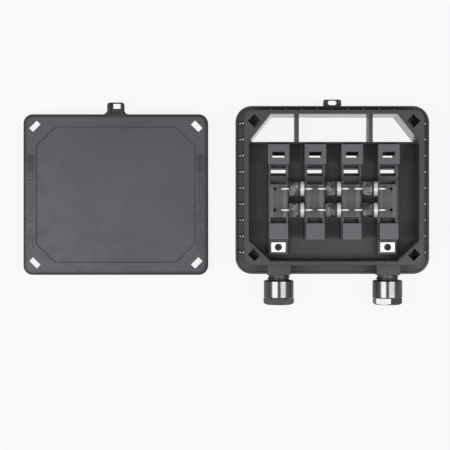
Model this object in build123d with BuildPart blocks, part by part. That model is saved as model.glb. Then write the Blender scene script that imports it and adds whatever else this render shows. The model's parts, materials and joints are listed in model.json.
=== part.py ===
from build123d import *
from math import pi, tan, radians
import os

# Junction box for the back of a solar panel: a shallow tray with a glue flange, four terminals
# joined by six bypass diodes, two cable glands, and a clip-on lid that lies beside the tray.
# Millimetres, +Z up, origin at the centre of the flange's back face. Cables leave towards -Y.

# ---------------------------------------------------------------- housing
flange_w, flange_d, flange_t, flange_r = 115.8, 100.4, 2.4, 9.8
lip_w, lip_h = 1.3, 0.9
body_w, body_d, body_h, body_r = 105.6, 91.2, 22.0, 5.0
body_y = 1.2
side_wall, end_wall = 3.0, 2.4
draft_deg = 3.0
cut_top_y, cut_bottom_y, cut_clear = 16.0, 12.2, 4.75
rim_edge = 0.4
bead_in, bead_w, bead_h = 0.5, 0.8, 0.4
glue_in, glue_w, glue_depth = 2.6, 2.4, 0.6
divider_from_near, divider_t, divider_h = 69.9, 1.0, 12.0
strut_x, strut_t, strut_h = 21.7, 2.4, 19.0
gusset_t, gusset_h = 1.2, 9.0
side_gussets, side_gusset_pitch = 9, 9.57
top_gussets, top_gusset_pitch = 9, 9.24
tab_w, tab_reach, tab_r = 10.7, 3.9, 1.2
tab_hole_w, tab_hole_d = 5.2, 2.7

# ---------------------------------------------------------------- lid latches
latch_in_x, latch_in_y = 6.2, 6.5
pocket, pocket_depth = 5.6, 12.0
ledge_w, ledge_top, ledge_t = 1.4, 4.8, 1.8
leg_w, leg_t, leg_in = 4.6, 1.2, 0.9
barb_reach, barb_h, barb_gap = 1.5, 2.4, 0.3

# ---------------------------------------------------------------- lid
lid_over_w, lid_over_d, lid_t, lid_r = 1.9, 2.0, 2.4, 5.5
skirt_t, skirt_h = 1.5, 4.0
lid_edge = 1.1
panel_in_x, panel_in_y, panel_cut, panel_depth = 7.4, 7.3, 11.3, 0.7
slot_l, slot_w, slot_shift = 6.4, 3.4, 1.98
lid_tab_w, lid_tab_reach, lid_tab_r, lid_tab_root = 10.2, 7.0, 1.6, 2.6
lid_tab_recess_w, lid_tab_recess_l, lid_tab_recess_depth = 5.8, 6.2, 1.4
lid_tab_hole_w, lid_tab_hole_l = 4.4, 2.9
seal_w, seal_h, seal_groove, seal_clear = 1.5, 1.6, 0.8, 0.1
hook_len = ledge_top + ledge_t + barb_gap + barb_h
lid_gap = 16.2

# ---------------------------------------------------------------- terminals
outer_terminal_in = 17.4
floor_top = flange_t
carrier_w, carrier_top_w = 13.4, 11.8
carrier_top = 10.0
trough_w, trough_floor = 8.8, 4.6
tower_far_h, tower_near_h, tower_near_w = 19.0, 19.4, 11.2
ribbon_slot_w, clip_slot_w = 7.4, 9.6
clip_w, clip_h = 11.5, 14.0
sheet = 0.8
flank_t, flank_top = 0.7, 13.2
web_top, web_fold_w, web_fold = 10.8, 5.6, 0.7
strip_w = 8.2
lead_x = 2.1
lip_drop, tail_set = 1.6, 0.9

# distances along a terminal, from the tray's near inner wall
clamp_from_near = 8.0
carrier_from_near, tower_near_to = 12.6, 22.4
web_from_near, web_to = 25.7, 45.2
diode_rows_from_near = (42.6, 30.1)
clip_from_near, clip_slot_from, clip_slot_foot, clip_slot_to, clip_to = 47.7, 50.2, 52.0, 54.0, 54.6
tower_far_from, ribbon_slot_from, ribbon_slot_foot, ribbon_slot_to = 56.5, 60.9, 62.5, 64.4

# ---------------------------------------------------------------- diodes
diode_d, diode_l, diode_z, diode_edge = 8.8, 9.4, 16.0, 0.5
lead_d, lead_bend, lead_end_z, lead_clear, lead_fit = 1.2, 0.9, 9.0, 0.2, 0.04

# ---------------------------------------------------------------- cable clamps
clamp_w, clamp_d, clamp_h = 9.1, 6.3, 7.6
screw_d, screw_l, screw_clear, screw_sink, hex_key, hex_depth = 4.2, 3.2, 0.05, 0.3, 2.0, 1.8
wire_d, wire_z = 3.2, 2.4
cup_wall, cup_top, cup_clear = 0.8, 8.6, 0.2

# ---------------------------------------------------------------- cable glands
gland_in_x, gland_z = 20.6, 11.0
boss_w, boss_top = 13.8, 18.4
spout_d, spout_l, spout_bore = 12.0, 11.5, 8.4
grommet_d, grommet_bore, grommet_l, grommet_clear, grommet_sink = 10.0, 6.4, 8.0, 0.1, 0.8
nut_gap, nut_l, nut_d, nut_bore = 3.3, 14.4, 17.6, 13.9
nut_hex, nut_hex_l, nut_nose_t, nut_hole = 15.6, 3.8, 1.8, 8.0
nut_travel, nut_edge = 2.5, 0.6
claw_d, claw_bore, claw_nose_d, claw_clear = 12.6, 7.0, 9.7, 0.1
claw_slots, claw_slot_w = 6, 0.9

os.makedirs("parts", exist_ok=True)

floor_drop = body_h - floor_top
draft_in = floor_drop * tan(radians(draft_deg))
cavity_w, cavity_d = body_w - 2 * side_wall, body_d - 2 * end_wall
near_wall = body_y - cavity_d / 2
terminal_count = 4
pitch = (cavity_w - 2 * outer_terminal_in) / (terminal_count - 1)
terminal_xs = [pitch * (n - (terminal_count - 1) / 2) for n in range(terminal_count)]
cut_x = cavity_w / 2 - terminal_xs[-1] - cut_clear
latch_x, latch_y = body_w / 2 - latch_in_x, body_d / 2 - latch_in_y
gland_x = body_w / 2 - gland_in_x
lid_w, lid_d = body_w + 2 * lid_over_w, body_d + 2 * lid_over_d
panel_w, panel_d = lid_w - 2 * panel_in_x, lid_d - 2 * panel_in_y
divider_y = near_wall + divider_from_near
clamp_y = near_wall + clamp_from_near
carrier_far, carrier_near = divider_y - divider_t / 2 - 0.2, near_wall + carrier_from_near
tower_near_far, tower_far_near = near_wall + tower_near_to, near_wall + tower_far_from
web_near, web_far = near_wall + web_from_near, near_wall + web_to
diode_rows = [near_wall + distance for distance in diode_rows_from_near]
clip_near, clip_far = near_wall + clip_from_near, near_wall + clip_to
clip_slot_near, clip_slot_far = near_wall + clip_slot_from, near_wall + clip_slot_to
clip_foot = near_wall + clip_slot_foot
ribbon_slot_near, ribbon_slot_far = near_wall + ribbon_slot_from, near_wall + ribbon_slot_to
ribbon_foot = near_wall + ribbon_slot_foot
lid_x = -(flange_w / 2 + lid_gap + lid_w / 2)
lid_y = -2.8
lid_under = hook_len
corners = [(sx, sy) for sx in (-1, 1) for sy in (-1, 1)]


def save(part, name):
    """Labels a finished piece and writes its STEP file."""
    part.label = name
    export_step(part, f"parts/{name}.step")


def cavity_outline(x, y):
    """Points of the tray's inside: a rectangle with its four corners cut off for the latches."""
    half_w, half_d = cavity_w / 2, cavity_d / 2
    return [
        (x - half_w, y - half_d + cut_bottom_y),
        (x - half_w + cut_x, y - half_d),
        (x + half_w - cut_x, y - half_d),
        (x + half_w, y - half_d + cut_bottom_y),
        (x + half_w, y + half_d - cut_top_y),
        (x + half_w - cut_x, y + half_d),
        (x - half_w + cut_x, y + half_d),
        (x - half_w, y + half_d - cut_top_y),
    ]


def latch_plane(sx, sy, x, y, z):
    """Plane at a latch, its X axis pointing out of the corner."""
    origin = (x + sx * latch_x, y + sy * latch_y, z)
    return Plane(origin=origin, x_dir=(sx, sy, 0), z_dir=(0, 0, 1))


def along_gland(sx, y):
    """Plane across a gland at y, its Z axis pointing out of the box."""
    return Plane(origin=(sx * gland_x, y, gland_z), x_dir=(1, 0, 0), z_dir=(0, -1, 0))


# ================================================================ base housing
with BuildPart() as base_housing:
    with BuildSketch():
        RectangleRounded(flange_w, flange_d, flange_r)
    extrude(amount=flange_t)
    with BuildSketch(Plane.XY.offset(flange_t)):
        RectangleRounded(flange_w, flange_d, flange_r)
        RectangleRounded(flange_w - 2 * lip_w, flange_d - 2 * lip_w, flange_r - lip_w, mode=Mode.SUBTRACT)
    extrude(amount=lip_h)
    with BuildSketch():
        with Locations((0, body_y)):
            RectangleRounded(body_w, body_d, body_r)
    extrude(amount=body_h)
    rim_edges = base_housing.faces().sort_by(Axis.Z)[-1].outer_wire().edges()
    chamfer(rim_edges, length=rim_edge)

    # gussets between the flange and the two sides and the far wall
    for n in range(side_gussets):
        y = body_y + (n - (side_gussets - 1) / 2) * side_gusset_pitch
        with BuildSketch(Plane.XZ.offset(-y)):
            for side in (-1, 1):
                foot, head = flange_w / 2 - lip_w, body_w / 2 - 0.5
                with BuildLine():
                    Polyline(
                        (side * head, flange_t / 2),
                        (side * foot, flange_t / 2),
                        (side * foot, flange_t + lip_h),
                        (side * head, flange_t + gusset_h),
                        close=True,
                    )
                make_face()
        extrude(amount=gusset_t / 2, both=True)
    for n in range(top_gussets):
        x = (n - (top_gussets - 1) / 2) * top_gusset_pitch
        with BuildSketch(Plane.YZ.offset(x)):
            with BuildLine():
                foot, head = flange_d / 2 - lip_w, body_y + body_d / 2 - 0.5
                Polyline(
                    (head, flange_t / 2),
                    (foot, flange_t / 2),
                    (foot, flange_t + lip_h),
                    (head, flange_t + gusset_h),
                    close=True,
                )
            make_face()
        extrude(amount=gusset_t / 2, both=True)

    # hanging tab on the flange
    with BuildSketch():
        with Locations((0, flange_d / 2 - tab_r)):
            RectangleRounded(tab_w, 2 * (tab_reach + tab_r), tab_r)
    extrude(amount=flange_t)
    with BuildSketch():
        with Locations((0, flange_d / 2 + tab_reach / 2)):
            SlotOverall(tab_hole_w, tab_hole_d)
    extrude(amount=flange_t, mode=Mode.SUBTRACT)

    # gland bosses and spouts
    for side in (-1, 1):
        boss_far = body_y - body_d / 2 + 1.0
        with BuildSketch():
            with Locations((side * gland_x, (boss_far - flange_d / 2) / 2)):
                Rectangle(boss_w, boss_far + flange_d / 2)
        extrude(amount=boss_top)
        with BuildSketch(along_gland(side, -flange_d / 2)):
            Circle(spout_d / 2)
        extrude(amount=spout_l)

    # inside of the tray, open to the back behind the far windows
    with BuildSketch(Plane.XY.offset(body_h)):
        with BuildLine():
            Polyline(*cavity_outline(0, body_y), close=True)
        make_face()
    extrude(amount=-floor_drop, taper=draft_deg, mode=Mode.SUBTRACT)
    with BuildSketch():
        with BuildLine():
            Polyline(*cavity_outline(0, body_y), close=True)
        make_face()
        offset(amount=-draft_in, kind=Kind.INTERSECTION)
        with Locations((0, divider_y - body_d / 2)):
            Rectangle(body_w, body_d, mode=Mode.SUBTRACT)
    extrude(amount=floor_top, mode=Mode.SUBTRACT)
    with BuildSketch():
        with Locations((0, divider_y)):
            Rectangle(cavity_w + side_wall, divider_t)
    extrude(amount=divider_h)
    with BuildSketch():
        strut_far = body_y + cavity_d / 2 + 0.5
        with Locations((0, (divider_y + strut_far) / 2)):
            with GridLocations(2 * strut_x, 0, 2, 1):
                Rectangle(strut_t, strut_far - divider_y)
    extrude(amount=strut_h)

    # bead round the rim that presses into the lid's seal
    with BuildSketch(Plane.XY.offset(body_h)):
        with BuildLine():
            Polyline(*cavity_outline(0, body_y), close=True)
        make_face()
        offset(amount=bead_in + bead_w, kind=Kind.INTERSECTION)
        with BuildLine():
            Polyline(*cavity_outline(0, body_y), close=True)
        inner_face = make_face(mode=Mode.PRIVATE)
        offset(inner_face, amount=bead_in, kind=Kind.INTERSECTION, mode=Mode.SUBTRACT)
    extrude(amount=bead_h)

    # groove for glue round the back of the flange
    with BuildSketch():
        RectangleRounded(flange_w - 2 * glue_in, flange_d - 2 * glue_in, flange_r - glue_in)
        glue_end = glue_in + glue_w
        RectangleRounded(
            flange_w - 2 * glue_end, flange_d - 2 * glue_end, flange_r - glue_end, mode=Mode.SUBTRACT
        )
    extrude(amount=glue_depth, mode=Mode.SUBTRACT)

    # latch pockets with their ledges
    for sx, sy in corners:
        with BuildSketch(latch_plane(sx, sy, 0, body_y, body_h)):
            Rectangle(pocket, pocket)
        extrude(amount=-pocket_depth, mode=Mode.SUBTRACT)
        with BuildSketch(latch_plane(sx, sy, 0, body_y, body_h - ledge_top)):
            with Locations(((ledge_w - pocket) / 2, 0)):
                Rectangle(ledge_w, pocket)
        extrude(amount=-ledge_t)

    # ribbon slots through the floor
    for x in terminal_xs:
        with BuildSketch():
            with Locations((x, (ribbon_foot + ribbon_slot_near) / 2)):
                Rectangle(ribbon_slot_w, ribbon_foot - ribbon_slot_near)
            with Locations((x, (clip_slot_far + clip_foot) / 2)):
                Rectangle(clip_slot_w, clip_slot_far - clip_foot)
        extrude(amount=floor_top, mode=Mode.SUBTRACT)

    # cable ways: a bore from the tray through each spout, widened for the rubber grommet
    for side in (-1, 1):
        with BuildSketch(along_gland(side, body_y - cavity_d / 2 + draft_in + 0.5)):
            Circle(spout_bore / 2)
        extrude(amount=flange_d, mode=Mode.SUBTRACT)
        grommet_seat = -flange_d / 2 - spout_l + grommet_sink + grommet_l
        with BuildSketch(along_gland(side, grommet_seat)):
            Circle(grommet_d / 2 + grommet_clear)
        extrude(amount=flange_d, mode=Mode.SUBTRACT)

save(base_housing.part, "base_housing")

# ================================================================ lid
with BuildPart() as lid:
    with BuildSketch(Plane((lid_x, lid_y, lid_under - skirt_h))):
        RectangleRounded(lid_w, lid_d, lid_r)
        with Locations((0, (lid_d + lid_tab_reach) / 2 - lid_tab_r)):
            Rectangle(lid_tab_w, lid_tab_reach + 2 * lid_tab_r)
    extrude(amount=skirt_h + lid_t)
    tab_tips = lid.edges().filter_by(Axis.Z).group_by(Axis.Y)[-1]
    fillet(tab_tips, lid_tab_r)
    tab_roots = lid.edges().filter_by(Axis.Z).filter_by_position(
        Axis.Y, lid_y + lid_d / 2 - 0.1, lid_y + lid_d / 2 + 0.1
    )
    tab_roots = tab_roots.filter_by_position(Axis.X, lid_x - lid_tab_w, lid_x + lid_tab_w)
    fillet(tab_roots, lid_tab_root)
    fillet(lid.faces().sort_by(Axis.Z)[-1].outer_wire().edges(), lid_edge)

    # hollow underside and the tab's thinner tongue
    with BuildSketch(Plane((lid_x, lid_y, lid_under - skirt_h))):
        RectangleRounded(lid_w - 2 * skirt_t, lid_d - 2 * skirt_t, lid_r - skirt_t)
        with Locations((0, lid_d / 2 + lid_tab_reach)):
            Rectangle(2 * lid_tab_w, 2 * lid_tab_reach)
    extrude(amount=skirt_h, mode=Mode.SUBTRACT)

    # sunk centre panel
    with BuildSketch(Plane((lid_x, lid_y, lid_under + lid_t))):
        panel = Rectangle(panel_w, panel_d)
        chamfer(panel.vertices(), length=panel_cut)
    extrude(amount=-panel_depth, mode=Mode.SUBTRACT)

    # seal groove
    with BuildSketch(Plane((lid_x, lid_y, lid_under))):
        with BuildLine():
            Polyline(*cavity_outline(0, 0), close=True)
        make_face()
        offset(amount=seal_w + 2 * seal_clear, kind=Kind.INTERSECTION)
        with BuildLine():
            Polyline(*cavity_outline(0, 0), close=True)
        make_face(mode=Mode.SUBTRACT)
    extrude(amount=seal_groove, mode=Mode.SUBTRACT)

    # latch legs with inward barbs, and the slots behind them for a screwdriver
    for sx, sy in corners:
        foot_plane = latch_plane(sx, sy, lid_x, lid_y, 0)
        side_plane = Plane(origin=foot_plane.origin, x_dir=(sx, sy, 0), z_dir=foot_plane.y_dir * -1)
        leg_out = leg_t - leg_in
        with BuildSketch(side_plane):
            with BuildLine():
                Polyline(
                    (leg_out, lid_under + lid_t / 2),
                    (leg_out, 0),
                    (-leg_in, 0),
                    (-leg_in - barb_reach, barb_h),
                    (-leg_in, barb_h),
                    (-leg_in, lid_under + lid_t / 2),
                    close=True,
                )
            make_face()
        extrude(amount=leg_w / 2, both=True)
        with BuildSketch(latch_plane(sx, sy, lid_x, lid_y, lid_under + lid_t)):
            with Locations((slot_shift, 0)):
                Rectangle(slot_w, slot_l)
        extrude(amount=-lid_t, mode=Mode.SUBTRACT)

    # seal tab: a recess with a window for a wire
    with BuildSketch(Plane((lid_x, lid_y + lid_d / 2, lid_under + lid_t))):
        with Locations((0, lid_tab_recess_l / 2)):
            Rectangle(lid_tab_recess_w, lid_tab_recess_l)
    extrude(amount=-lid_tab_recess_depth, mode=Mode.SUBTRACT)
    with BuildSketch(Plane((lid_x, lid_y + lid_d / 2, lid_under + lid_t))):
        shift = (lid_tab_recess_w - lid_tab_hole_w) / 2
        with Locations((shift, lid_tab_recess_l - lid_tab_hole_l / 2)):
            Rectangle(lid_tab_hole_w, lid_tab_hole_l)
    extrude(amount=-lid_t, mode=Mode.SUBTRACT)

save(lid.part, "lid")

with BuildPart() as lid_seal:
    with BuildSketch(Plane((lid_x, lid_y, lid_under + seal_groove))):
        with BuildLine():
            Polyline(*cavity_outline(0, 0), close=True)
        make_face()
        offset(amount=seal_w + seal_clear, kind=Kind.INTERSECTION)
        with BuildLine():
            Polyline(*cavity_outline(0, 0), close=True)
        make_face(mode=Mode.SUBTRACT)
    extrude(amount=-seal_h)

save(lid_seal.part, "lid_seal")

# ================================================================ terminals
carrier_edge = carrier_top_w / 2
flank_out = clip_w / 2
tunnel_h = sheet + 0.3
tail_top = floor_top + sheet
clamp_base = tail_top


def terminal_carrier(number, x):
    """Moulded carrier: a far tower, a trough under the contact rail, and a near tower."""
    with BuildPart() as carrier:
        with BuildSketch(Plane.XZ.offset(-carrier_far)):
            with BuildLine():
                Polyline(
                    (x - carrier_w / 2, floor_top),
                    (x + carrier_w / 2, floor_top),
                    (x + carrier_edge, carrier_top),
                    (x - carrier_edge, carrier_top),
                    close=True,
                )
            make_face()
        extrude(amount=carrier_far - carrier_near)
        with BuildSketch(Plane.XY.offset(floor_top)):
            with Locations((x, (carrier_far + tower_far_near) / 2)):
                Rectangle(carrier_w, carrier_far - tower_far_near)
        extrude(amount=tower_far_h - floor_top, taper=1.5)
        with BuildSketch(Plane.XY.offset(floor_top)):
            with Locations((x, (tower_near_far + carrier_near) / 2)):
                Rectangle(tower_near_w, tower_near_far - carrier_near)
        extrude(amount=tower_near_h - floor_top, taper=0.5)

        # trough under the rail, slots for the panel's ribbons, tunnel for the rail's tail
        with BuildSketch(Plane.XY.offset(trough_floor)):
            with Locations((x, (tower_far_near + tower_near_far) / 2)):
                Rectangle(trough_w, tower_far_near - tower_near_far)
        extrude(amount=carrier_top - trough_floor, mode=Mode.SUBTRACT)
        with BuildSketch(Plane.XY.offset(floor_top)):
            with Locations((x, (ribbon_slot_far + ribbon_slot_near) / 2)):
                Rectangle(ribbon_slot_w, ribbon_slot_far - ribbon_slot_near)
            with Locations((x, (clip_slot_far + clip_foot) / 2)):
                Rectangle(trough_w, clip_slot_far - clip_foot)
            with Locations((x, (web_near + tower_near_far) / 2)):
                Rectangle(trough_w, web_near - tower_near_far + 0.2)
        extrude(amount=tower_far_h, mode=Mode.SUBTRACT)
        with BuildSketch(Plane.XY.offset(floor_top)):
            with Locations((x, (web_near + carrier_near) / 2)):
                Rectangle(strip_w + 0.6, web_near - carrier_near + 0.2)
        extrude(amount=tunnel_h, mode=Mode.SUBTRACT)
    save(carrier.part, f"terminal_carrier_{number}")


for number, x in enumerate(terminal_xs, start=1):
    terminal_carrier(number, x)


# ================================================================ contact rails
def contact_rail(number, x, has_clamp):
    """Sheet rail: a folded web between two flanks, a ribbon clip at its far end, a tail below."""
    web_edge = flank_out - flank_t / 2
    with BuildPart() as rail:
        with BuildSketch(Plane.XZ.offset(-web_far)):
            with BuildLine():
                Polyline(
                    (x - web_edge, web_top + web_fold),
                    (x - web_fold_w / 2, web_top),
                    (x + web_fold_w / 2, web_top),
                    (x + web_edge, web_top + web_fold),
                    (x + web_edge, web_top + web_fold - sheet),
                    (x + web_fold_w / 2, web_top - sheet),
                    (x - web_fold_w / 2, web_top - sheet),
                    (x - web_edge, web_top + web_fold - sheet),
                    close=True,
                )
            make_face()
        extrude(amount=web_far - web_near)

        # flanks, standing on the carrier's shoulders
        with BuildSketch(Plane.XY.offset(carrier_top)):
            with Locations((x, (clip_far + web_near) / 2)):
                with GridLocations(2 * web_edge, 0, 2, 1):
                    Rectangle(flank_t, clip_far - web_near)
        extrude(amount=flank_top - carrier_top)

        # ribbon clip with a sloped lip
        with BuildSketch(Plane.XY.offset(carrier_top)):
            with Locations((x, (clip_far + clip_near) / 2)):
                Rectangle(clip_w, clip_far - clip_near)
            with Locations((x, (clip_slot_far + clip_slot_near) / 2)):
                Rectangle(clip_slot_w, clip_slot_far - clip_slot_near, mode=Mode.SUBTRACT)
        extrude(amount=clip_h - carrier_top)
        with BuildSketch(Plane.YZ.offset(x - clip_w / 2)):
            with BuildLine():
                Polyline(
                    (clip_near, clip_h),
                    (clip_slot_near, clip_h),
                    (clip_near, clip_h - lip_drop),
                    close=True,
                )
            make_face()
        extrude(amount=clip_w, mode=Mode.SUBTRACT)

        # tail: down behind the near tower, and on through the tunnel
        tail_end = clamp_y - clamp_d / 2 if has_clamp else carrier_near + 1.0
        with BuildSketch(Plane.YZ.offset(x - strip_w / 2)):
            with BuildLine():
                Polyline(
                    (web_near + sheet, web_top - sheet / 4),
                    (web_near, web_top - sheet / 4),
                    (web_near - tail_set, web_top - tail_set),
                    (web_near - tail_set, tail_top),
                    (tail_end, tail_top),
                    (tail_end, floor_top),
                    (web_near - tail_set + sheet, floor_top),
                    (web_near - tail_set + sheet, web_top - tail_set - sheet),
                    (web_near + sheet, web_top - sheet - tail_set / 2),
                    close=True,
                )
            make_face()
        extrude(amount=strip_w)

        # holes for the diode leads
        with BuildSketch(Plane.XY.offset(web_top)):
            with Locations(*[(x + side * lead_x, y) for side in (-1, 1) for y in diode_rows]):
                Circle(lead_d / 2 + lead_clear)
        extrude(amount=-sheet, mode=Mode.SUBTRACT)
    save(rail.part, f"contact_rail_{number}")


for number, x in enumerate(terminal_xs, start=1):
    contact_rail(number, x, number in (1, len(terminal_xs)))


# ================================================================ bypass diodes
def diode(name, x, y):
    """Round moulded body, and one bent wire whose ends drop into the rails on both sides."""
    with BuildPart() as body:
        with BuildSketch(Plane.YZ.offset(x - diode_l / 2)):
            with Locations((y, diode_z)):
                Circle(diode_d / 2)
        extrude(amount=diode_l)
        chamfer(body.edges().filter_by(GeomType.CIRCLE), length=diode_edge)
        with BuildSketch(Plane.YZ.offset(x - diode_l / 2)):
            with Locations((y, diode_z)):
                Circle(lead_d / 2 + lead_fit)
        extrude(amount=diode_l, mode=Mode.SUBTRACT)
    save(body.part, f"{name}_body")

    reach = pitch / 2 - lead_x
    with BuildPart() as leads:
        with BuildLine(Plane.XZ.offset(-y)) as route:
            Polyline(
                (x - reach, lead_end_z),
                (x - reach, diode_z - lead_bend),
                (x - reach + lead_bend, diode_z),
                (x + reach - lead_bend, diode_z),
                (x + reach, diode_z - lead_bend),
                (x + reach, lead_end_z),
            )
        with BuildSketch(Plane(origin=route.line @ 0, z_dir=route.line % 0)):
            Circle(lead_d / 2)
        sweep(transition=Transition.RIGHT)
    save(leads.part, f"{name}_leads")


for column in range(len(terminal_xs) - 1):
    for row, y in zip(("far", "near"), diode_rows):
        diode(f"diode_{row}_{column + 1}", terminal_xs[column] + pitch / 2, y)


# ================================================================ cable clamps
def cable_clamp(side_name, x):
    """Moulded cup on the floor, metal block with a wire bore, and a set screw from above."""
    cup_w, cup_d = clamp_w + 2 * cup_clear, clamp_d + 2 * cup_clear
    with BuildPart() as cup:
        with BuildSketch(Plane.XY.offset(floor_top)):
            with Locations((x, clamp_y)):
                Rectangle(cup_w + 2 * cup_wall, cup_d + 2 * cup_wall)
                Rectangle(cup_w, cup_d, mode=Mode.SUBTRACT)
        extrude(amount=cup_top - floor_top)
        with BuildSketch(Plane.XY.offset(floor_top)):
            with Locations((x, clamp_y + clamp_d)):
                Rectangle(strip_w + 0.6, 2 * clamp_d)
        extrude(amount=tunnel_h, mode=Mode.SUBTRACT)
        with BuildSketch(Plane.XZ.offset(-clamp_y)):
            with Locations((x, clamp_base + wire_z)):
                Circle(wire_d / 2 + cup_clear)
        extrude(amount=clamp_d, mode=Mode.SUBTRACT)
    save(cup.part, f"clamp_cup_{side_name}")

    with BuildPart() as block:
        with BuildSketch(Plane.XY.offset(clamp_base)):
            with Locations((x, clamp_y)):
                Rectangle(clamp_w, clamp_d)
        extrude(amount=clamp_h)
        chamfer(block.faces().sort_by(Axis.Z)[-1].edges(), length=0.4)
        with BuildSketch(Plane.XY.offset(clamp_base + clamp_h)):
            with Locations((x, clamp_y)):
                Circle(screw_d / 2 + screw_clear)
        extrude(amount=wire_z - clamp_h, mode=Mode.SUBTRACT)
        with BuildSketch(Plane.XZ.offset(-clamp_y)):
            with Locations((x, clamp_base + wire_z)):
                Circle(wire_d / 2)
        extrude(amount=clamp_d, both=True, mode=Mode.SUBTRACT)
    save(block.part, f"clamp_block_{side_name}")

    screw_top = clamp_base + clamp_h - screw_sink
    with BuildPart() as screw:
        with BuildSketch(Plane.XY.offset(screw_top)):
            with Locations((x, clamp_y)):
                Circle(screw_d / 2)
        extrude(amount=-screw_l)
        chamfer(screw.edges().filter_by(GeomType.CIRCLE), length=0.3)
        with BuildSketch(Plane.XY.offset(screw_top)):
            with Locations((x, clamp_y)):
                RegularPolygon(hex_key / 2, 6, major_radius=False)
        extrude(amount=-hex_depth, mode=Mode.SUBTRACT)
    save(screw.part, f"set_screw_{side_name}")


cable_clamp("left", terminal_xs[0])
cable_clamp("right", terminal_xs[-1])


# ================================================================ cable glands
def cable_gland(side_name, side, turn):
    """Rubber grommet in the spout, slotted claw ring, and a hex-nosed nut over both."""
    spout_end = -flange_d / 2 - spout_l
    nut_far = -flange_d / 2 - nut_gap
    nut_end = nut_far - nut_l
    shoulder = nut_end + nut_nose_t
    with BuildPart() as grommet:
        with BuildSketch(along_gland(side, spout_end + grommet_sink + grommet_l)):
            Circle(grommet_d / 2)
            Circle(grommet_bore / 2, mode=Mode.SUBTRACT)
        extrude(amount=grommet_l)
    save(grommet.part, f"gland_grommet_{side_name}")

    claw_outer = shoulder + claw_clear
    claw_inner = spout_end - claw_clear - nut_travel
    with BuildPart() as claw:
        with BuildSketch(along_gland(side, claw_inner)):
            Circle(claw_d / 2)
            Circle(claw_bore / 2, mode=Mode.SUBTRACT)
        extrude(amount=claw_inner - claw_outer)
        with BuildSketch(along_gland(side, claw_inner + grommet_sink)):
            Circle(claw_nose_d / 2)
            Circle(claw_bore / 2, mode=Mode.SUBTRACT)
        extrude(amount=grommet_sink)
        with BuildSketch(along_gland(side, claw_inner + grommet_sink)):
            with PolarLocations(claw_d / 2, claw_slots):
                Rectangle(claw_d / 2, claw_slot_w)
        extrude(amount=claw_inner - claw_outer, mode=Mode.SUBTRACT)
    save(claw.part, f"gland_claw_{side_name}")

    with BuildPart() as nut:
        with BuildSketch(along_gland(side, nut_far)):
            Circle(nut_d / 2)
        extrude(amount=nut_l - nut_hex_l)
        chamfer(nut.edges().filter_by(GeomType.CIRCLE), length=nut_edge)
        with BuildSketch(along_gland(side, nut_end + nut_hex_l)):
            RegularPolygon(nut_hex / 2, 6, major_radius=False, rotation=turn)
        extrude(amount=nut_hex_l)
        with BuildSketch(Plane.YZ.offset(side * gland_x)):
            with BuildLine():
                tip, corner = nut_hex / 2 - 0.4, nut_hex / 2 + 2.0
                Polyline(
                    (nut_end, gland_z + tip),
                    (nut_end, gland_z + corner),
                    (nut_end + 1.4, gland_z + corner),
                    close=True,
                )
            make_face()
        axis = Axis((side * gland_x, 0, gland_z), (0, 1, 0))
        revolve(axis=axis, mode=Mode.SUBTRACT)
        with BuildSketch(along_gland(side, nut_far)):
            Circle(nut_bore / 2)
        extrude(amount=nut_far - shoulder, mode=Mode.SUBTRACT)
        with BuildSketch(along_gland(side, nut_far)):
            Circle(nut_hole / 2)
        extrude(amount=nut_l, mode=Mode.SUBTRACT)
    save(nut.part, f"gland_nut_{side_name}")


cable_gland("left", -1, 0)
cable_gland("right", 1, 22)
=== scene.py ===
import json
import math

import bmesh
import bpy
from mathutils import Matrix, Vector

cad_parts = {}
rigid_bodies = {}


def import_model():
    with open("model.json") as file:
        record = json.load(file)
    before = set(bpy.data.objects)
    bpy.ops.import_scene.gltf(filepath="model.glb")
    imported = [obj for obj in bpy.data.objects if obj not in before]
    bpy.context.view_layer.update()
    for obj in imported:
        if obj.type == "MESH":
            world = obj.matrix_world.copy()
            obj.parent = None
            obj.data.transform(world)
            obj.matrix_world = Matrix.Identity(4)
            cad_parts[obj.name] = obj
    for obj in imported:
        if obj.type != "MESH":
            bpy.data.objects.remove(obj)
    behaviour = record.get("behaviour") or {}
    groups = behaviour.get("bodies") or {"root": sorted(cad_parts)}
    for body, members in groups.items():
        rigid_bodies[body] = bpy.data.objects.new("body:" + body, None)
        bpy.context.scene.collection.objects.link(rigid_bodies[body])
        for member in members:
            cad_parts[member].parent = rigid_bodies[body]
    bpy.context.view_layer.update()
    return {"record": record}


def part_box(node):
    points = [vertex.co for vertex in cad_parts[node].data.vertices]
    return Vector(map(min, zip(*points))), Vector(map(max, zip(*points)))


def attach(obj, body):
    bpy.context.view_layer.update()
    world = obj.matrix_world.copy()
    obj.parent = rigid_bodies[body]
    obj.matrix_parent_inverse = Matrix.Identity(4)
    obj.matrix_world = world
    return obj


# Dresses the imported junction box: an open black tray with its rails, diodes and glands on the
# right, and the lid lying beside it on the left, seen from above between two softboxes.
# Metres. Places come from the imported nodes' boxes and from the sizes named below.

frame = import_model()
MM = 0.001


def node_box(name):
    """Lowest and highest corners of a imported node, as vectors."""
    low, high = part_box(name)
    return Vector(low), Vector(high)


# ------------------------------------------------------------------------------- sizes

# The lid's plate without the tab at its far edge, and the band of painted shade along its outline.
LID_LOW, LID_HIGH = node_box("lid")
LID_HALF_X, LID_HALF_Y = (LID_HIGH.x - LID_LOW.x) / 2, 47.6 * MM
LID_MIDDLE = Vector(((LID_LOW.x + LID_HIGH.x) / 2, LID_LOW.y + LID_HALF_Y, 0))
LID_CORNER, LID_SHADE_BAND = 5.5 * MM, 2.5 * MM

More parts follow.
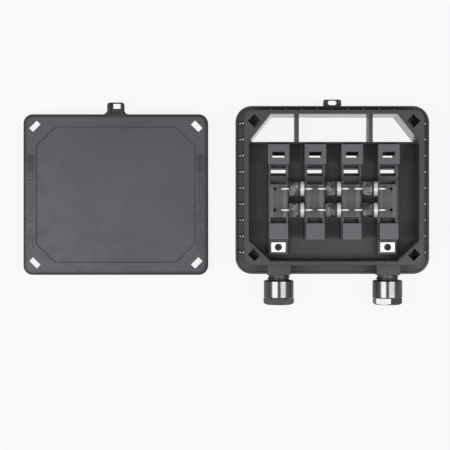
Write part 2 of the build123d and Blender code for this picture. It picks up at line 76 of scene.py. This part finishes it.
# The tray's hollow at its rim, its drafted walls, and the cuts across its far corners.
CAVITY_HALF_X, CAVITY_HALF_Y, CAVITY_Y = 49.8 * MM, 43.2 * MM, 1.2 * MM
CAVITY_CORNER, CAVITY_BAND = 5.0 * MM, 0.5 * MM
TRAY_TOP, FLOOR_TOP, DRAFT_DEGREES = 22.0 * MM, 2.4 * MM, 3.0
DRAFT_IN = (TRAY_TOP - FLOOR_TOP) * math.tan(math.radians(DRAFT_DEGREES))
CARRIER_HALF_X, CUT_CLEAR, CUT_FAR = 6.7 * MM, 4.75 * MM, 16.0 * MM
CUT_X = CAVITY_HALF_X - (node_box("terminal_carrier_4")[1].x - CARRIER_HALF_X) - CUT_CLEAR

# The gussets beside the tray: how many, how far apart, and where they end.
FLANGE_HALF_X = node_box("base_housing")[1].x
GUSSETS, GUSSET_PITCH = 9, 9.57 * MM
GUSSET_FOOT_IN, GUSSET_FOOT_TOP = 3.2 * MM, 6.5 * MM
BODY_HALF_X, GUSSET_OUT, GUSSET_TOP = 52.8 * MM, 0.3 * MM, 11.0 * MM

# The rails' raised webs, where the leads of the diodes go in on either side of the middle.
RAILS, WEB_TOP, LEAD_IN = 4, 10.8 * MM, 2.1 * MM

# The diodes' cathode bands, counted from the middle of a body.
DIODE_PITCH = node_box("diode_far_3_body")[0].x - node_box("diode_far_2_body")[0].x
BAND_FROM, BAND_TO = 2.0 * MM, 4.2 * MM

# The spouts of the glands and their threads.
SPOUT_LENGTH, GROMMET_SINK = 11.5 * MM, 0.8 * MM
THREAD_PITCH, THREAD_ROOT, THREAD_CREST = 2.0 * MM, 5.98 * MM, 6.72 * MM

# ------------------------------------------------------------------------------- materials

BLACK, WHITE = (0, 0, 0), (1, 1, 1)
NOISE_LOW, NOISE_HIGH = 0.3, 0.7  # most of a noise lies between them


class Nodes:
    """A material's node tree, with short calls for the nodes used here."""

    def __init__(self, name):
        self.material = bpy.data.materials.new(name)
        self.material.use_nodes = True
        self.tree = self.material.node_tree
        self.shader = self.tree.nodes["Principled BSDF"]
        self.place = self.add("ShaderNodeTexCoord").outputs["Object"]

    def add(self, kind, **settings):
        node = self.tree.nodes.new(kind)
        for key, value in settings.items():
            setattr(node, key, value)
        return node

    def link(self, source, target):
        self.tree.links.new(source, target)

    def noise(self, scale, detail=3.0, stretch=(1, 1, 1), roughness=0.5):
        mapping = self.add("ShaderNodeMapping")
        mapping.inputs["Scale"].default_value = stretch
        self.link(self.place, mapping.inputs["Vector"])
        noise = self.add("ShaderNodeTexNoise")
        noise.inputs["Scale"].default_value = scale
        noise.inputs["Detail"].default_value = detail
        noise.inputs["Roughness"].default_value = roughness
        self.link(mapping.outputs["Vector"], noise.inputs["Vector"])
        return noise.outputs["Fac"]

    def ramp(self, source, low, high):
        """Colours between two stops, each a position and a colour."""
        ramp = self.add("ShaderNodeValToRGB")
        for element, (position, colour) in zip(ramp.color_ramp.elements, (low, high)):
            element.position = position
            element.color = (*colour, 1)
        self.link(source, ramp.inputs["Fac"])
        return ramp.outputs["Color"]

    def rising(self, source, start, end):
        """A mask that is 0 up to start and 1 from end on."""
        return self.ramp(source, (start, BLACK), (end, WHITE))

    def falling(self, source, start, end):
        """A mask that is 1 up to start and 0 from end on."""
        return self.ramp(source, (start, WHITE), (end, BLACK))

    def spread(self, source, low, high):
        """Maps the middle of a noise to the range low..high."""
        mapped = self.add("ShaderNodeMapRange")
        mapped.inputs["From Min"].default_value = NOISE_LOW
        mapped.inputs["From Max"].default_value = NOISE_HIGH
        mapped.inputs["To Min"].default_value = low
        mapped.inputs["To Max"].default_value = high
        self.link(source, mapped.inputs["Value"])
        return mapped.outputs["Result"]

    def math(self, operation, first, second=None):
        node = self.add("ShaderNodeMath", operation=operation)
        for slot, value in zip(node.inputs, (first, second)):
            if value is None:
                continue
            if isinstance(value, (int, float)):
                slot.default_value = value
            else:
                self.link(value, slot)
        return node.outputs[0]

    def vector_math(self, operation, first, second=None):
        """Works on a linked vector, with a fixed one as the second."""
        node = self.add("ShaderNodeVectorMath", operation=operation)
        self.link(first, node.inputs[0])
        if second is not None:
            node.inputs[1].default_value = second
        return node.outputs

    def parts(self, vector):
        """The X, Y and Z of a vector."""
        split = self.add("ShaderNodeSeparateXYZ")
        self.link(vector, split.inputs["Vector"])
        return split.outputs

    def mix(self, factor, first, second):
        node = self.add("ShaderNodeMix", data_type="RGBA")
        for name, value in (("Factor", factor), ("A", first), ("B", second)):
            slot = next(s for s in node.inputs if s.name == name and s.enabled)
            if isinstance(value, tuple):
                slot.default_value = (*value, 1)
            elif isinstance(value, (int, float)):
                slot.default_value = value
            else:
                self.link(value, slot)
        return next(s for s in node.outputs if s.enabled)

    def cover(self, base, mask, strength, colour):
        """Lays a colour over base where mask is set."""
        return self.mix(self.math("MULTIPLY", mask, strength), base, colour)

    def bump(self, height, distance, strength=1.0, under=None):
        node = self.add("ShaderNodeBump")
        node.inputs["Strength"].default_value = strength
        node.inputs["Distance"].default_value = distance
        self.link(height, node.inputs["Height"])
        if under is not None:
            self.link(under, node.inputs["Normal"])
        return node.outputs["Normal"]

    def edges(self, radius):
        """Softly rounded normal, a mask of the edges it rounds, and a mask of upright faces."""
        bevel = self.add("ShaderNodeBevel", samples=4)
        bevel.inputs["Radius"].default_value = radius
        geometry = self.add("ShaderNodeNewGeometry")
        turn = self.add("ShaderNodeVectorMath", operation="DOT_PRODUCT")
        self.link(bevel.outputs["Normal"], turn.inputs[0])
        self.link(geometry.outputs["True Normal"], turn.inputs[1])
        rubbed = self.falling(turn.outputs["Value"], 0.80, 0.97)
        tilt = self.math("ABSOLUTE", self.parts(geometry.outputs["True Normal"])["Z"])
        return bevel.outputs["Normal"], rubbed, self.falling(tilt, 0.55, 0.95)

    def open_sky(self, reach):
        """How open a spot is: 1 in the open, near 0 deep between walls."""
        node = self.add("ShaderNodeAmbientOcclusion", samples=8)
        node.inputs["Distance"].default_value = reach
        return node.outputs["AO"]

    def outer_band(self, middle, half, corner, width):
        """A band along the edge of a rounded rectangle, and all that lies beyond it."""
        offset = self.vector_math("SUBTRACT", self.place, (middle.x, middle.y, 0))[0]
        size = self.vector_math("ABSOLUTE", offset)[0]
        past = self.vector_math("SUBTRACT", size, (half.x - corner, half.y - corner, 1))[0]
        kept = self.vector_math("MAXIMUM", past)[0]
        far = self.vector_math("LENGTH", kept)["Value"]
        inside = self.math("DIVIDE", self.math("SUBTRACT", corner, far), width)
        return self.falling(inside, 0.5, 1.0)

    def set(self, **values):
        """Sets the shader's sockets: links for outputs, numbers and colours as they are."""
        for key, value in values.items():
            slot = self.shader.inputs[key.replace("_", " ")]
            if isinstance(value, bpy.types.NodeSocket):
                self.link(value, slot)
            elif isinstance(value, tuple):
                slot.default_value = (*value, 1)
            else:
                slot.default_value = value
        return self.material


def grey(level, tint=0.0):
    """A neutral colour, a little more violet with tint."""
    return (level, level * (1 - 0.1 * tint), level * (1 + tint))


# Each mark's share of the plastic's level: dust and rubbed edges are wear, the others painted
# shade.
WEAR_AND_PAINTED_SHADE = {"dust": 2.4, "side": 0.35, "painted_recess_shade": 0.25, "painted_crease_shade": 0.15, "painted_outline_shade": 0.2, "rubbed": 2.2}
DUST_STRENGTH, OUTLINE_SHADE_STRENGTH, RUBBED_STRENGTH = 0.10, 0.85, 0.5
# How far ambient occlusion looks for the painted shade in recesses and at creases.
RECESS_SHADE_REACH, CREASE_SHADE_REACH = 0.02, 0.0015


def moulded(
    name,
    level,
    tint=0.04,
    roughness=(0.38, 0.5),
    ior=1.5,
    flow=0.12,
    grain=0.00002,
    waves=0.00008,
    edge_radius=0.00012,
    painted_side_shade=0.25,
    painted_depth_shade=0.0,
    painted_crease_shade=0.0,
    cavity=None,
    painted_outline_shade=None,
):
    """Moulded black plastic: fine spark-eroded grain, slow flow shading, edges rubbed paler,
    painted shade.

    flow is the contrast of the slow shading, and grain and waves are the bumps' heights.
    The side share paints shade on upright faces, the depth share in the recesses and the crease
    share at the foot of a step.
    Inside cavity, a rounded rectangle for outer_band, the whole floor gets the painted recess
    shade.
    The outline is such a rectangle too, and a band of painted shade is drawn along it.
    """
    m = Nodes(name)

    def wear_and_shade_colour(kind):
        return grey(level * WEAR_AND_PAINTED_SHADE[kind], tint)

    cloud = m.noise(22, 4)
    streak = m.noise(60, 3, (1, 0.25, 0.6))
    pale, dark = grey(level * (1 + flow), tint), grey(level * (1 - flow), tint)
    body = m.ramp(cloud, (NOISE_LOW, dark), (NOISE_HIGH, pale))
    dust = m.rising(m.noise(900, 2), 0.66, 0.78)
    body = m.cover(body, dust, DUST_STRENGTH, wear_and_shade_colour("dust"))
    rounded, rubbed, side = m.edges(edge_radius)
    # Painted shade: upright faces darker than the tops that face the lamps.
    body = m.cover(body, side, painted_side_shade, wear_and_shade_colour("side"))
    # Painted shade in recesses, and inside the tray over its whole floor, darkest between walls.
    if painted_depth_shade:
        open_sky = m.open_sky(RECESS_SHADE_REACH)
        painted_recess_shade = m.falling(open_sky, 0.2, 0.55)
        if cavity:
            floor = m.falling(open_sky, 0.5, 0.95)
            floor = m.math("MULTIPLY", floor, m.math("SUBTRACT", 1.0, side))
            painted_recess_shade = m.mix(m.outer_band(*cavity), floor, painted_recess_shade)
        body = m.cover(body, painted_recess_shade, painted_depth_shade, wear_and_shade_colour("painted_recess_shade"))
    # Painted shade at the foot of each step and round the lid's pictograms.
    if painted_crease_shade:
        foot = m.falling(m.open_sky(CREASE_SHADE_REACH), 0.55, 0.93)
        body = m.cover(body, foot, painted_crease_shade, wear_and_shade_colour("painted_crease_shade"))
    # Painted shade: a dark band along the lid's outline, where its rounded edge turns from the
    # light.
    if painted_outline_shade:
        body = m.cover(body, m.outer_band(*painted_outline_shade), OUTLINE_SHADE_STRENGTH, wear_and_shade_colour("painted_outline_shade"))
    body = m.cover(body, rubbed, RUBBED_STRENGTH, wear_and_shade_colour("rubbed"))
    fine = m.bump(m.noise(5200, 2), grain, 0.6, rounded)
    return m.set(
        Base_Color=body,
        Roughness=m.spread(m.noise(140, 3), *roughness),
        Normal=m.bump(streak, waves, 0.25, fine),
        IOR=ior,
    )


def dull_metal(name, level, tint=0.05):
    """Dark plated sheet: brushed along its length, with a little grime."""
    m = Nodes(name)
    brushed = m.noise(420, 4, (6, 0.4, 1))
    cloud = m.noise(90, 4)
    pale, dark = grey(level * 1.15, tint), grey(level * 0.8, tint)
    return m.set(
        Base_Color=m.ramp(cloud, (NOISE_LOW, dark), (NOISE_HIGH, pale)),
        Metallic=0.25,
        Roughness=m.spread(cloud, 0.34, 0.5),
        Normal=m.bump(brushed, 0.00003, 0.5),
    )


def tinned(name, level, roughness, metallic):
    """Bright tin: a soft white metal with slight ripples and a few dull spots."""
    m = Nodes(name)
    ripple = m.noise(650, 3)
    spots = m.rising(m.noise(1500, 2), 0.62, 0.74)
    return m.set(
        Base_Color=m.cover(grey(level, -0.02), spots, 0.35, grey(level * 0.62)),
        Metallic=metallic,
        Roughness=m.spread(ripple, *roughness),
        Normal=m.bump(ripple, 0.00004, 0.5),
    )


def diode_epoxy(name):
    """Black epoxy with a silver band at each body's +X end and a rub of pale print on the rest."""
    m = Nodes(name)
    # Each body takes one column of DIODE_PITCH, with its middle at 0.5 of it.
    columns = m.math("DIVIDE", m.parts(m.place)["X"], DIODE_PITCH)
    cell = m.math("FRACT", m.math("ADD", columns, 10.5))
    after = m.math("GREATER_THAN", cell, 0.5 + BAND_FROM / DIODE_PITCH)
    before = m.math("LESS_THAN", cell, 0.5 + BAND_TO / DIODE_PITCH)
    band = m.math("MULTIPLY", after, before)
    speck = m.rising(m.noise(2300, 4, roughness=0.7), 0.50, 0.60)
    patch = m.rising(m.noise(260, 2), 0.42, 0.56)
    print_zone = m.math("LESS_THAN", cell, 0.5 + 0.3 * BAND_FROM / DIODE_PITCH)
    rub = m.math("MULTIPLY", m.math("MULTIPLY", speck, patch), m.math("MULTIPLY", print_zone, 0.85))
    body = m.mix(rub, grey(0.03, 0.05), grey(0.6, 0.02))
    worn = m.ramp(m.noise(1700, 3), (0.32, grey(0.4)), (0.5, grey(0.66)))
    return m.set(
        Base_Color=m.mix(band, body, worn),
        Metallic=m.math("MULTIPLY", band, 0.5),
        Roughness=m.spread(m.noise(900, 3), 0.3, 0.45),
        Normal=m.bump(m.noise(3000, 3), 0.00003, 0.6),
    )


# Rounded rectangles for painted shade: the tray's floor inside its rim, and the band along the
# lid's outline.
CAVITY_RIM = (
    Vector((0, CAVITY_Y)), Vector((CAVITY_HALF_X, CAVITY_HALF_Y)), CAVITY_CORNER, CAVITY_BAND,
)
LID_SHADE_OUTLINE = (LID_MIDDLE, Vector((LID_HALF_X, LID_HALF_Y)), LID_CORNER, LID_SHADE_BAND)

# Most plastics carry painted shade on upright faces; the housing and carriers in recesses too, the
# lid at its steps and outline.
HOUSING = moulded(
    "housing_plastic", 0.044, tint=0.07, roughness=(0.36, 0.48), ior=1.40,
    painted_depth_shade=0.2, cavity=CAVITY_RIM,
)
LID = moulded(
    "lid_plastic", 0.054, tint=0.17, roughness=(0.42, 0.52), ior=1.38, flow=0.1,
    painted_crease_shade=0.8, painted_outline_shade=LID_SHADE_OUTLINE,
)
CARRIER = moulded(
    "carrier_plastic", 0.074, tint=0.14, roughness=(0.4, 0.52), flow=0.08, painted_depth_shade=0.2
)
CLAW = moulded("claw_plastic", 0.05)
NUT = moulded(
    "nut_plastic", 0.012, roughness=(0.18, 0.22), ior=1.95, grain=0.0000002, waves=0.000003,
    edge_radius=0.0, painted_side_shade=0.0,
)
RUBBER = moulded("seal_rubber", 0.03, roughness=(0.6, 0.75))
ENGRAVING = moulded("lid_engraving_plastic", 0.03, roughness=(0.45, 0.55))
THREAD = moulded("thread_plastic", 0.03, roughness=(0.22, 0.3))
POLISHED = moulded(
    "polished_plastic", 0.08, roughness=(0.1, 0.16), ior=1.6, grain=0.000003, painted_side_shade=0.0
)
# Pale glossy beads that paint highlights at the ends of the side gussets.
PAINTED_GLINT = moulded("gusset_end_painted_glint", 0.45, roughness=(0.12, 0.2), grain=0.000003)
SCREW = dull_metal("screw_black_oxide", 0.012)
RAIL = dull_metal("rail_plating", 0.07)
WIRE = tinned("wire_tin", 0.95, roughness=(0.25, 0.35), metallic=0.3)
CLAMP = tinned("clamp_tin", 0.9, roughness=(0.3, 0.45), metallic=0.6)
EPOXY = diode_epoxy("diode_epoxy")

MATERIAL_OF_SLOT = {
    "housing_black": HOUSING,
    "lid_black": LID,
    "seal_rubber": RUBBER,
    "carrier_grey": CARRIER,
    "rail_metal": RAIL,
    "diode_black": EPOXY,
    "tinned_wire": WIRE,
    "clamp_tinned": CLAMP,
    "screw_black": SCREW,
    "claw_black": CLAW,
    "nut_black": NUT,
}
for part in frame["record"]["subparts"]:
    node = bpy.data.objects[part["node"]]
    for slot in node.material_slots:
        slot.material = MATERIAL_OF_SLOT[part["material_slot"]]

# ------------------------------------------------------------------------------- camera

PICTURE_WIDTH = 0.270
CAMERA_HEIGHT = 0.90
TARGET = Vector((-0.0642, -0.0210, 0))
SHIFT_X, SHIFT_Y = -0.05, -0.05
SENSOR_MM = 36


def make_camera():
    """Looks straight down, with a small shift that keeps it nearer to the tray."""
    data = bpy.data.cameras.new("camera")
    data.sensor_width = SENSOR_MM
    data.lens = SENSOR_MM * CAMERA_HEIGHT / PICTURE_WIDTH
    data.shift_x, data.shift_y = SHIFT_X, SHIFT_Y
    camera = bpy.data.objects.new("camera", data)
    aside = Vector((SHIFT_X, SHIFT_Y, 0)) * PICTURE_WIDTH
    camera.location = TARGET - aside + Vector((0, 0, CAMERA_HEIGHT))
    bpy.context.collection.objects.link(camera)
    bpy.context.scene.camera = camera


make_camera()

# ------------------------------------------------------------------------------- floor and light

FLOOR_SIZE, FLOOR_DROP = 8, 0.0002
PAPER_COLOUR, GLOW_COLOUR, GLOW_SHARE = (0.5, 0.5, 0.5), (0.985, 0.985, 0.99), 0.9
SOFTBOX_Y, SOFTBOX_HEIGHT = -0.105, 0.6
SOFTBOX_WIDTH, SOFTBOX_LENGTH = 0.66, 0.17
WORLD_STRENGTH = 0.5


def make_floor():
    """Grey paper that glows near white, with a trace of shadow left.

    The camera sees the glow everywhere, and mirror reflections see it beyond Y = 0.
    """
    bpy.ops.mesh.primitive_plane_add(size=FLOOR_SIZE, location=(0, 0, -FLOOR_DROP))
    floor = bpy.context.object
    floor.name = "floor"
    m = Nodes("floor_paper")
    m.tree.nodes.remove(m.shader)
    paper = m.add("ShaderNodeBsdfDiffuse")
    paper.inputs["Color"].default_value = (*PAPER_COLOUR, 1)
    glow = m.add("ShaderNodeEmission")
    glow.inputs["Color"].default_value = (*GLOW_COLOUR, 1)
    ray = m.add("ShaderNodeLightPath").outputs
    beyond = m.math("GREATER_THAN", m.parts(m.place)["Y"], 0.0)
    mirrored = m.math("MULTIPLY", beyond, ray["Is Glossy Ray"])
    seen = m.math("MAXIMUM", ray["Is Camera Ray"], mirrored)
    surface = m.add("ShaderNodeMixShader")
    m.link(m.math("MULTIPLY", seen, GLOW_SHARE), surface.inputs["Fac"])
    m.link(paper.outputs[0], surface.inputs[1])
    m.link(glow.outputs[0], surface.inputs[2])
    m.link(surface.outputs[0], m.tree.nodes["Material Output"].inputs["Surface"])
    floor.data.materials.append(m.material)


def make_softbox(name, centre_x, watts):
    """Long light above one side, facing straight down."""
    data = bpy.data.lights.new(name, "AREA")
    data.shape = "RECTANGLE"
    data.size, data.size_y = SOFTBOX_WIDTH, SOFTBOX_LENGTH
    data.energy = watts
    light = bpy.data.objects.new(name, data)
    light.location = (centre_x, SOFTBOX_Y, SOFTBOX_HEIGHT)
    bpy.context.collection.objects.link(light)


def make_world():
    """Even white light from all round."""
    world = bpy.data.worlds.new("studio")
    world.use_nodes = True
    shade = world.node_tree.nodes["Background"]
    shade.inputs["Color"].default_value = (*WHITE, 1)
    shade.inputs["Strength"].default_value = WORLD_STRENGTH
    bpy.context.scene.world = world


make_floor()
make_softbox("softbox_left", centre_x=-0.47, watts=3.4)
make_softbox("softbox_right", centre_x=0.45, watts=2.5)
make_world()
bpy.context.scene.view_settings.view_transform = "Standard"

# ------------------------------------------------------------------------------- mesh helpers


def new_piece(name, mesh, material):
    """A piece that rides on the box."""
    piece = bpy.data.objects.new(name, mesh)
    mesh.materials.append(material)
    bpy.context.collection.objects.link(piece)
    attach(piece, "box")
    return piece


def written(bm, name):
    """A mesh from a bmesh, which is freed."""
    mesh = bpy.data.meshes.new(name)
    bm.to_mesh(mesh)
    bm.free()
    return mesh


def merged(name, meshes, material):
    """One piece out of several meshes."""
    bm = bmesh.new()
    for mesh in meshes:
        bm.from_mesh(mesh)
        bpy.data.meshes.remove(mesh)
    return new_piece(name, written(bm, name), material)


def bridge(bm, here, there, round_trip=True):
    """Faces between two rows of points, which are rings on a round trip."""
    count = len(here)
    for k in range(count if round_trip else count - 1):
        after = (k + 1) % count
        bm.faces.new((here[k], here[after], there[after], there[k]))


def smooth_outward(bm):
    """Turns the faces outward and shades those with four corners smooth."""
    bmesh.ops.recalc_face_normals(bm, faces=bm.faces)
    for face in bm.faces:
        face.smooth = len(face.verts) == 4


def tube_mesh(path, radius, sides, closed, flat):
    """Round bar along a level path, flattened in Z by flat."""
    bm = bmesh.new()
    count = len(path)
    rings = []
    for i, point in enumerate(path):
        before = path[(i - 1) % count] if closed or i > 0 else point
        after = path[(i + 1) % count] if closed or i < count - 1 else point
        along = (after - before).normalized()
        side = along.cross(Vector((0, 0, 1))).normalized()
        up = side.cross(along).normalized()
        ring = []
        for k in range(sides):
            angle = 2 * math.pi * k / sides
            across, rise = side * radius * math.cos(angle), up * radius * flat * math.sin(angle)
            ring.append(bm.verts.new(point + across + rise))
        rings.append(ring)
    for i in range(count if closed else count - 1):
        bridge(bm, rings[i], rings[(i + 1) % count])
    if not closed:
        bm.faces.new(list(reversed(rings[0])))
        bm.faces.new(rings[-1])
    smooth_outward(bm)
    return written(bm, "tube")


def arc(radius, start, end, steps):
    """Points of an arc round the origin, degrees counted from +X."""
    points = []
    for i in range(steps + 1):
        a = math.radians(start + (end - start) * i / steps)
        points.append(Vector((radius * math.cos(a), radius * math.sin(a), 0)))
    return points


# ------------------------------------------------------------------------------- gland threads

STEPS_PER_TURN, RUN_OUT_STEPS = 64, 24
# The ridge's cross-section: place along the spout in pitches, and share of the full height.
RIDGE = ((-0.36, 0.0), (-0.12, 1.0), (0.12, 1.0), (0.36, 0.0))
PLAIN_END = 0.4  # pitches without a ridge at each end of a spout


def gland_thread(name, centre_x, centre_z, near_y, far_y):
    """Helical ridge round a spout, from the flange's edge out to the spout's end."""
    bm = bmesh.new()
    turns = (near_y - far_y) / THREAD_PITCH - 2 * PLAIN_END
    steps = int(turns * STEPS_PER_TURN)
    rows = []
    for i in range(steps + 1):
        angle = 2 * math.pi * i / STEPS_PER_TURN
        fade = min(1.0, i / RUN_OUT_STEPS, (steps - i) / RUN_OUT_STEPS)
        y = near_y - PLAIN_END * THREAD_PITCH - i / STEPS_PER_TURN * THREAD_PITCH
        row = []
        for along, height in RIDGE:
            radius = THREAD_ROOT + (THREAD_CREST - THREAD_ROOT) * height * fade
            x, z = centre_x + radius * math.sin(angle), centre_z + radius * math.cos(angle)
            row.append(bm.verts.new((x, y + along * THREAD_PITCH, z)))
        rows.append(row)
    for here, there in zip(rows, rows[1:]):
        bridge(bm, here, there, round_trip=False)
    smooth_outward(bm)
    return new_piece(name, written(bm, name), THREAD)


for gland in ("left", "right"):
    low, high = node_box(f"gland_grommet_{gland}")
    middle = (low + high) / 2
    spout_end = low.y - GROMMET_SINK
    gland_thread(f"gland_thread_{gland}", middle.x, middle.z, spout_end + SPOUT_LENGTH, spout_end)

# ------------------------------------------------------------------------------- lid pictograms

HINT_LIFT, SIDE_BAND_IN = 0.01 * MM, 4.3 * MM
LINE_RADIUS, LINE_SIDES, LINE_FLAT = 0.16 * MM, 8, 0.55


def pictogram(name, x):
    """Opening hint on a side band: a screwdriver, a turn arrow and a pointer to the slot."""

    def at(across, along):
        """A point on the band, in mm from the middle of the picture."""
        return Vector((x + across * MM, LID_MIDDLE.y + along * MM, LID_HIGH.z + HINT_LIFT))

    handle = [
        at(-1.9, 23.8), at(1.9, 23.8), at(1.9, 12.6),
        at(1.2, 11.0), at(-1.2, 11.0), at(-1.9, 12.6),
    ]
    collar = [at(-1.7, 10.6), at(1.7, 10.6), at(1.7, 9.0), at(-1.7, 9.0)]
    shaft = [at(-0.9, 8.8), at(0.9, 8.8), at(0.9, -6.2), at(-0.9, -6.2)]
    pointer = [
        at(-1.1, -24.0), at(1.1, -24.0), at(1.1, -30.2), at(2.2, -30.2),
        at(0, -34.2), at(-2.2, -30.2), at(-1.1, -30.2),
    ]
    turn = [at(p.x, -13.7 + p.y) for p in arc(2.1, 60, 330, 24)]
    arrow_head = [at(2.9, -13.9), turn[-1], at(0.7, -15.6)]
    lines = [(handle, True), (collar, True), (shaft, True), (pointer, True), (turn, False)]
    for flute in (-1.3, -0.65, 0.0, 0.65, 1.3):
        lines.append(([at(flute, 23.2), at(flute, 12.8)], False))
    lines.append(([at(0, -7.4), at(0, -10.2)], False))
    lines.append((arrow_head, False))
    lines.append(([at(0, -20.2), at(0, -22.4)], False))
    meshes = [tube_mesh(path, LINE_RADIUS, LINE_SIDES, closed, LINE_FLAT) for path, closed in lines]
    return merged(name, meshes, ENGRAVING)


SIDE_BAND = LID_HALF_X - SIDE_BAND_IN
pictogram("lid_opening_hint_left", LID_MIDDLE.x - SIDE_BAND)
pictogram("lid_opening_hint_right", LID_MIDDLE.x + SIDE_BAND)

# ------------------------------------------------------------------------------- lead eyes

# Radius and height of an eye's rings in mm: a bare hole's collar, and one filled by a lead.
EYE_EMPTY = ((1.5, 0.0), (1.3, 0.18), (1.05, 0.22), (0.85, 0.05))
EYE_FILLED = ((1.4, 0.0), (1.2, 0.12), (0.95, 0.16), (0.72, 0.02))
EYE_SIDES = 28


def lead_eye(x, y, rings):
    """Dished collar round a hole in a rail's web."""
    bm = bmesh.new()
    rows = []
    for radius, height in rings:
        row = []
        for k in range(EYE_SIDES):
            angle = 2 * math.pi * k / EYE_SIDES
            across, along = radius * MM * math.cos(angle), radius * MM * math.sin(angle)
            row.append(bm.verts.new((x + across, y + along, WEB_TOP + height * MM)))
        rows.append(row)
    for here, there in zip(rows, rows[1:]):
        bridge(bm, here, there)
    smooth_outward(bm)
    return written(bm, "eye")


def lead_eyes():
    """An eye on either side of each rail's middle in both rows; the outermost have no lead."""
    rows_y = []
    for row in ("far", "near"):
        low, high = node_box(f"diode_{row}_1_leads")
        rows_y.append((low.y + high.y) / 2)
    empty, filled = [], []
    for number in range(1, RAILS + 1):
        low, high = node_box(f"contact_rail_{number}")
        rail_x = (low.x + high.x) / 2
        for side in (-1, 1):
            outermost = (number, side) in ((1, -1), (RAILS, 1))
            for y in rows_y:
                eye = lead_eye(rail_x + side * LEAD_IN, y, EYE_EMPTY if outermost else EYE_FILLED)
                (empty if outermost else filled).append(eye)
    merged("lead_eyes_empty", empty, RAIL)
    merged("lead_eyes_filled", filled, RAIL)


lead_eyes()

# ------------------------------------------------------------------------------- tray details

LINING_GAP, LINING_THICK = 0.03 * MM, 0.05 * MM
LINING_UNDER_RIM, LINING_OVER_FLOOR = 0.4 * MM, 0.05 * MM


def inset_line(points, amount):
    """Moves an open outline inwards, to the right of its direction."""
    moved = []
    for i, point in enumerate(points):
        sides = []
        if i > 0:
            sides.append((points[i] - points[i - 1]).normalized())
        if i < len(points) - 1:
            sides.append((points[i + 1] - points[i]).normalized())
        normals = [Vector((d.y, -d.x)) for d in sides]
        normal = sum(normals, Vector((0, 0))).normalized()
        moved.append(point + normal * amount / normal.dot(normals[0]))
    return moved


def window_wall():
    """Polished lining of the far wall above the floor windows, as smooth as the mould there."""
    x, far = CAVITY_HALF_X, CAVITY_Y + CAVITY_HALF_Y
    rim = [
        Vector((-x, far - CUT_FAR)), Vector((-x + CUT_X, far)),
        Vector((x - CUT_X, far)), Vector((x, far - CUT_FAR)),
    ]
    foot = inset_line(rim, DRAFT_IN)
    lining_top, lining_foot = TRAY_TOP - LINING_UNDER_RIM, FLOOR_TOP + LINING_OVER_FLOOR
    bm = bmesh.new()
    layers = []
    for depth in (LINING_GAP, LINING_GAP + LINING_THICK):
        for line, z in ((rim, lining_top), (foot, lining_foot)):
            layers.append([bm.verts.new((*p, z)) for p in inset_line(line, depth)])
    back_top, back_low, front_top, front_low = layers
    for k in range(len(rim) - 1):
        bm.faces.new((front_top[k], front_top[k + 1], front_low[k + 1], front_low[k]))
        bm.faces.new((back_top[k + 1], back_top[k], back_low[k], back_low[k + 1]))
        bm.faces.new((front_top[k + 1], front_top[k], back_top[k], back_top[k + 1]))
        bm.faces.new((front_low[k], front_low[k + 1], back_low[k + 1], back_low[k]))
    for k in (0, len(rim) - 1):
        bm.faces.new((front_top[k], front_low[k], back_low[k], back_top[k]))
    bmesh.ops.recalc_face_normals(bm, faces=bm.faces)
    return new_piece("window_wall_lining", written(bm, "window_wall"), POLISHED)


def gusset_ends():
    """Pale glossy beads at the outer and inner ends of the side gussets: painted highlights."""
    radius = Vector((0.8, 0.6, 0.4)) * MM
    spots = []
    for number in range(GUSSETS):
        y = CAVITY_Y + (number - (GUSSETS - 1) / 2) * GUSSET_PITCH
        for side in (-1, 1):
            spots.append(Vector((side * (FLANGE_HALF_X - GUSSET_FOOT_IN), y, GUSSET_FOOT_TOP)))
            spots.append(Vector((side * (BODY_HALF_X + GUSSET_OUT), y, GUSSET_TOP)))
    bm = bmesh.new()
    for spot in spots:
        made = bmesh.ops.create_uvsphere(bm, u_segments=12, v_segments=8, radius=1.0)
        for vert in made["verts"]:
            co = vert.co
            vert.co = Vector((co.x * radius.x, co.y * radius.y, co.z * radius.z)) + spot
    for face in bm.faces:
        face.smooth = True
    return new_piece("gusset_end_glints", written(bm, "gusset_end_glints"), PAINTED_GLINT)


# X, Y and radius of the rings that the ejector pins left on the floor, in mm.
EJECTOR_RINGS = (
    (-21.6, -33.0, 2.6), (0.0, -34.0, 3.4), (21.6, -33.0, 2.6),
    (-44.0, 0.0, 2.2), (44.0, 0.0, 2.2),
)
RING_LINE, RING_LINE_SIDES, RING_LINE_FLAT = 0.09 * MM, 6, 0.8


def floor_marks():
    """Ejector-pin rings, left as faint circles on the tray's floor."""
    meshes = []
    for x, y, radius in EJECTOR_RINGS:
        centre = Vector((x * MM, y * MM, FLOOR_TOP))
        ring = [centre + p * MM for p in arc(radius, 0, 350, 35)]
        meshes.append(tube_mesh(ring, RING_LINE, RING_LINE_SIDES, True, RING_LINE_FLAT))
    return merged("ejector_marks", meshes, HOUSING)


window_wall()
gusset_ends()
floor_marks()
